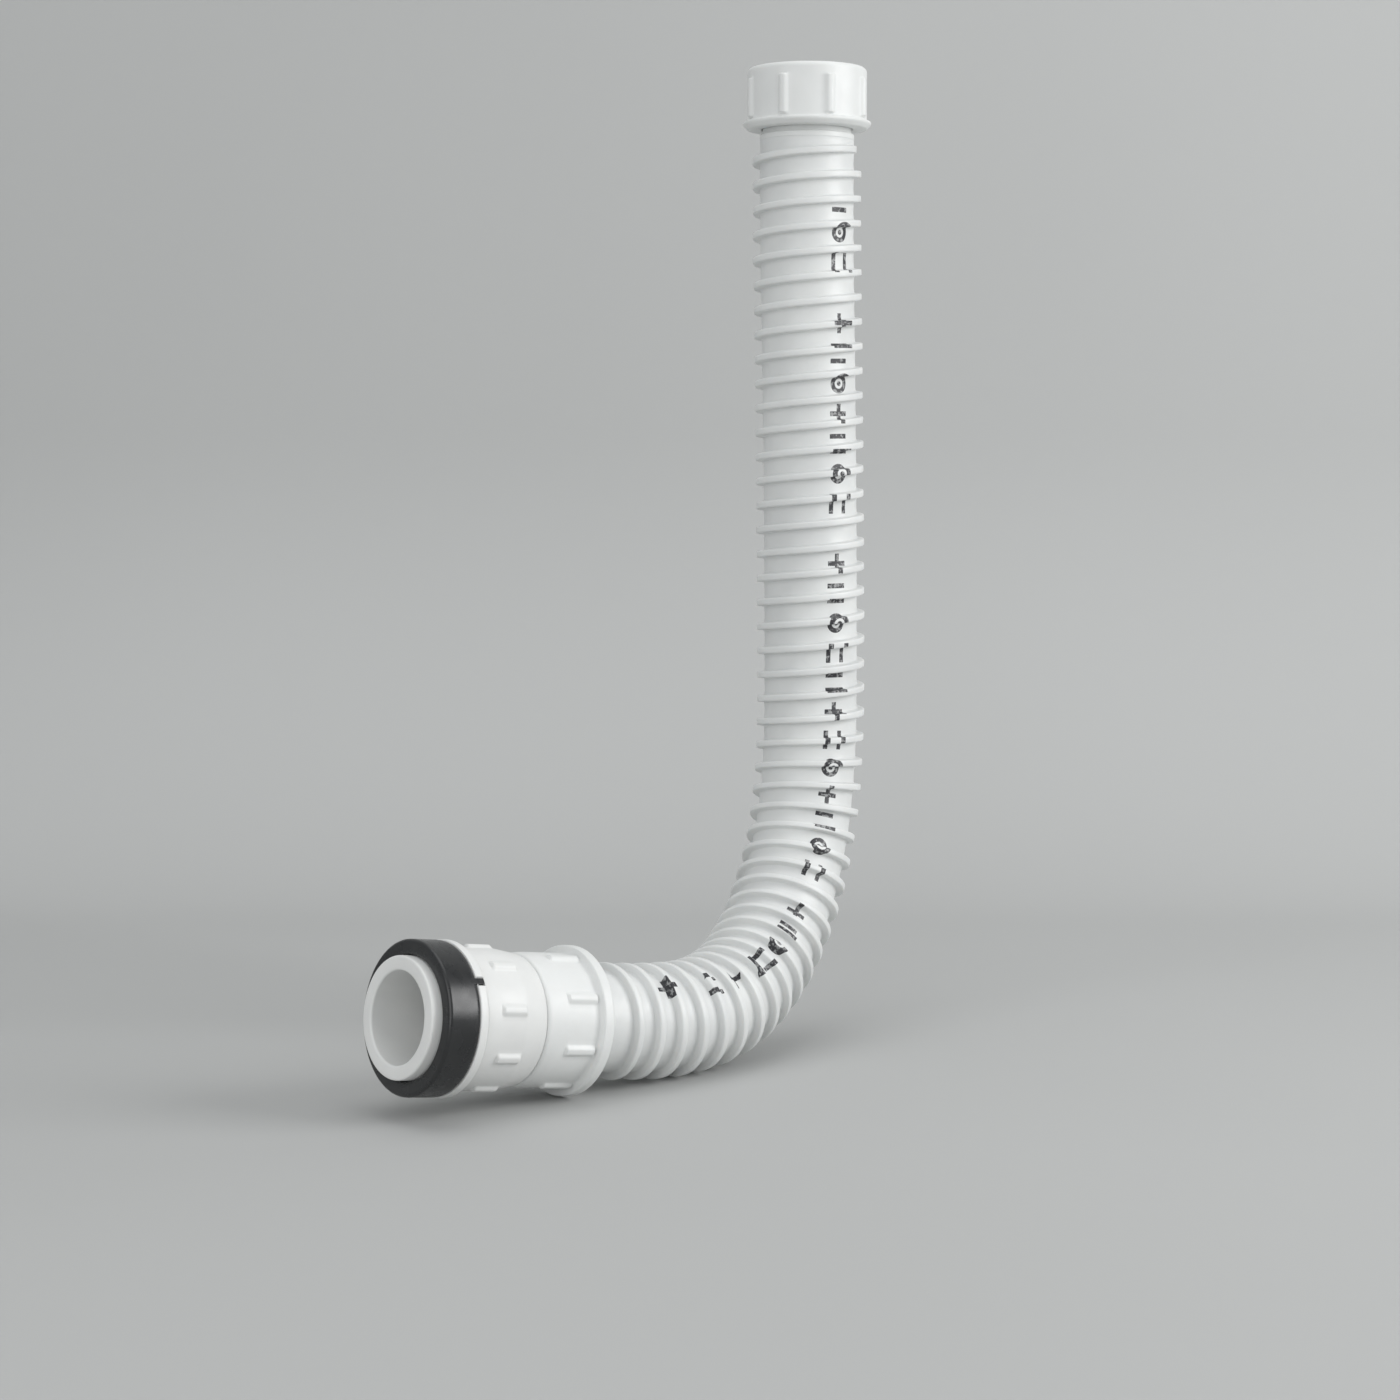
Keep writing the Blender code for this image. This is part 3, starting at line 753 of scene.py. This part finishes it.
def make_hose(material):
    """The wall and its wound rib, as rows that are helices, with the smooth bore inside."""
    along, centres, across, upright = ROUTE
    length = ROUTE_LENGTH - 2 * HOSE_START
    wall = HOSE_DIAMETER / 2
    rise = (RIB_DIAMETER - HOSE_DIAMETER) / 2
    columns = np.arange(HOSE_SIDES)
    places = []
    wrap = []

    def add_ring(distance, radius):
        """Adds one vertex a column at its own distance along the hose, and returns the first one's number."""
        place = HOSE_START + np.broadcast_to(distance, columns.shape)
        angle = tau * columns / HOSE_SIDES
        centre = np.stack([np.interp(place, along, centres[:, i]) for i in range(3)], axis=1)
        aside = np.stack([np.interp(place, along, across[:, i]) for i in range(3)], axis=1)
        above = np.stack([np.interp(place, along, upright[:, i]) for i in range(3)], axis=1)
        reach = np.broadcast_to(radius, columns.shape)[:, None]
        first_number = len(places)
        places.extend(centre + reach * (np.cos(angle)[:, None] * aside + np.sin(angle)[:, None] * above))
        wrap.extend(np.stack([columns / HOSE_SIDES, place], axis=1))
        return first_number

    first = RIB_FOOT / 2 + 2 * TOUCH_GAP
    last_column = (HOSE_SIDES - 1) / HOSE_SIDES
    turns = floor((length - 2 * first) / RIB_PITCH - last_column) + 1
    last = first + RIB_PITCH * (turns - 1 + last_column)
    rows = []
    for turn in range(turns):
        for offset, height in RIB_PROFILE:
            middle = first + RIB_PITCH * (turn + columns / HOSE_SIDES)
            fade = smooth_step((middle - first) / RIB_FADE) * smooth_step((last - middle) / RIB_FADE)
            swell = RIB_SWELL * np.sin(middle * RIB_SWELL_RATE)
            uneven = 1.0 + swell + RIB_FLUTTER * np.sin(middle * RIB_FLUTTER_RATE + RIB_FLUTTER_START)
            spot = np.clip(middle + offset * MM, TOUCH_GAP, length - TOUCH_GAP)
            rows.append(add_ring(spot, wall + rise * height * fade * uneven))
    step = len(RIB_PROFILE)
    start = add_ring(-COLLAR_FILL, wall)
    end = add_ring(length + COLLAR_FILL, wall)
    faces = []
    for upper, lower in zip([start] + rows, rows + [end]):
        for column in range(HOSE_SIDES - 1):
            faces.append((upper + column, upper + column + 1, lower + column + 1, lower + column))
    final = HOSE_SIDES - 1
    for row in range(len(rows) - step - 1):
        faces.append((rows[row] + final, rows[row + step], rows[row + step + 1], rows[row + 1] + final))
    rim = [start + final, start] + rows[: step + 1]
    faces += [(rows[0] + final, one, other) for one, other in zip(rim, rim[1:])]
    rim = [row + final for row in rows[-step - 1 :]] + [end + final, end]
    faces += [(rows[-1], one, other) for one, other in zip(rim, rim[1:])]
    rings = ceil(length / RIB_PITCH * BORE_RINGS_PER_PITCH)
    skins = [start]
    for i in range(rings + 1):
        distance = (length + 2 * COLLAR_FILL) * i / rings - COLLAR_FILL
        ripple = BORE_RIPPLE * np.cos(tau * ((distance - first) / RIB_PITCH - columns / HOSE_SIDES))
        ease = min(1.0, max(0.0, min(distance, length - distance) - TAIL_SPIGOT) / RIB_PITCH)
        skins.append(add_ring(distance, HOSE_BORE / 2 + ripple * ease))
    skins.append(end)
    for outer, inner in zip(skins, skins[1:]):
        for column in range(HOSE_SIDES):
            after = (column + 1) % HOSE_SIDES
            faces.append((outer + column, outer + after, inner + after, inner + column))
    hose = add_object("hose_look", [tuple(place) for place in places], faces, material)
    unwrapped = hose.data.uv_layers.new(name="wrap")
    corners = np.empty(len(hose.data.loops), dtype=np.int32)
    hose.data.loops.foreach_get("vertex_index", corners)
    starts = np.empty(len(hose.data.polygons), dtype=np.int32)
    hose.data.polygons.foreach_get("loop_start", starts)
    counts = np.empty(len(hose.data.polygons), dtype=np.int32)
    hose.data.polygons.foreach_get("loop_total", counts)
    spots = np.array(wrap)[corners]
    furthest = np.repeat(np.maximum.reduceat(spots[:, 0], starts), counts)
    spots[:, 0] += furthest - spots[:, 0] > 0.5
    unwrapped.data.foreach_set("uv", spots.ravel())
    return hose


# Studio


def add_light(name, place, side, power):
    data = bpy.data.lights.new(name, "AREA")
    data.shape = "SQUARE"
    data.size = side
    data.energy = power
    lamp = bpy.data.objects.new(name, data)
    lamp.location = place
    lamp.rotation_euler = (Vector(LAMP_AIM) - Vector(place)).to_track_quat("-Z", "Y").to_euler()
    bpy.context.collection.objects.link(lamp)


def add_studio(lowest):
    """A pale floor that curves up into a backdrop behind the object."""
    away = Vector((-sin(CAMERA_TURN), cos(CAMERA_TURN), 0.0))
    aside = Vector((cos(CAMERA_TURN), sin(CAMERA_TURN), 0.0))
    run = [(-STUDIO_SIZE, 0.0), (BACKDROP_DISTANCE, 0.0)]
    for i in range(1, BACKDROP_FACES + 1):
        angle = pi / 2 * i / BACKDROP_FACES
        distance = BACKDROP_DISTANCE + BACKDROP_CURVE * sin(angle)
        run.append((distance, BACKDROP_CURVE * (1 - cos(angle))))
    run.append((BACKDROP_DISTANCE + BACKDROP_CURVE, STUDIO_SIZE))
    middle = Vector((*STUDIO_MIDDLE, lowest))
    places = []
    for distance, height in run:
        for side in (-STUDIO_SIZE, STUDIO_SIZE):
            places.append(middle + away * distance + aside * side + Vector((0.0, 0.0, height)))
    faces = [(2 * i, 2 * i + 1, 2 * i + 3, 2 * i + 2) for i in range(len(run) - 1)]
    return add_object("studio_floor", places, faces, backdrop_material())


def add_camera():
    data = bpy.data.cameras.new("photo_camera")
    data.lens = CAMERA_LENS
    data.sensor_width = SENSOR_WIDTH
    data.clip_start = CAMERA_NEAR
    data.clip_end = CAMERA_FAR
    camera = bpy.data.objects.new("photo_camera", data)
    camera.location = CAMERA_PLACE
    camera.rotation_euler = Euler((pi / 2 - CAMERA_PITCH, 0.0, CAMERA_TURN))
    bpy.context.collection.objects.link(camera)
    bpy.context.scene.camera = camera


def main():
    moulded = surface(*MOULDED)
    fitting = surface(*FITTING)
    soft = printed(surface(*FLEXIBLE))
    black = surface(*RUBBER)
    grey = surface(*WASHER)
    hose = make_hose(soft)
    ring, nib = make_seal_ring(LOWER_PLACE, black)
    upper_nut = make_nut("upper_nut_look", UPPER_PLACE, moulded, UPPER_NUT)
    lower_nut = make_nut("lower_nut_look", LOWER_PLACE, moulded, LOWER_NUT)
    upper_tail = make_tail("upper_tail_look", UPPER_PLACE, moulded)
    lower_tail = make_tail("lower_tail_look", LOWER_PLACE, moulded)
    upper_washer = make_washer("upper_washer_look", UPPER_PLACE, grey)
    lower_washer = make_washer("lower_washer_look", LOWER_PLACE, grey)
    adapter = make_adapter(LOWER_PLACE, fitting)
    looks = [
        (hose, "hose_and_tails", "hose", "flexible_white"),
        (upper_nut, "upper_nut", "upper_nut", "moulded_white"),
        (lower_nut, "lower_nut", "lower_nut", "moulded_white"),
        (upper_tail, "hose_and_tails", "upper_tail", "moulded_white"),
        (lower_tail, "hose_and_tails", "lower_tail", "moulded_white"),
        (upper_washer, "hose_and_tails", "upper_washer", "washer_rubber"),
        (lower_washer, "hose_and_tails", "lower_washer", "washer_rubber"),
        (adapter, "adapter", "pan_adapter", "moulded_white"),
        (ring, "adapter", "pan_seal_ring", "black_rubber"),
        (nib, "adapter", "pan_seal_ring", "black_rubber"),
    ]
    for piece, body, node, finish in looks:
        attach(piece, body)
        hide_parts(node)
    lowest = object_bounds()[0][2]
    add_studio(lowest - FLOOR_GAP)
    add_camera()
    for lamp in LAMPS:
        add_light(*lamp)
    world = bpy.data.worlds.new("studio_air")
    world.use_nodes = True
    air = world.node_tree.nodes["Background"]
    air.inputs["Color"].default_value = AIR_COLOUR
    air.inputs["Strength"].default_value = AIR_STRENGTH
    bpy.context.scene.world = world
    bpy.context.scene.view_settings.view_transform = "Standard"


main()
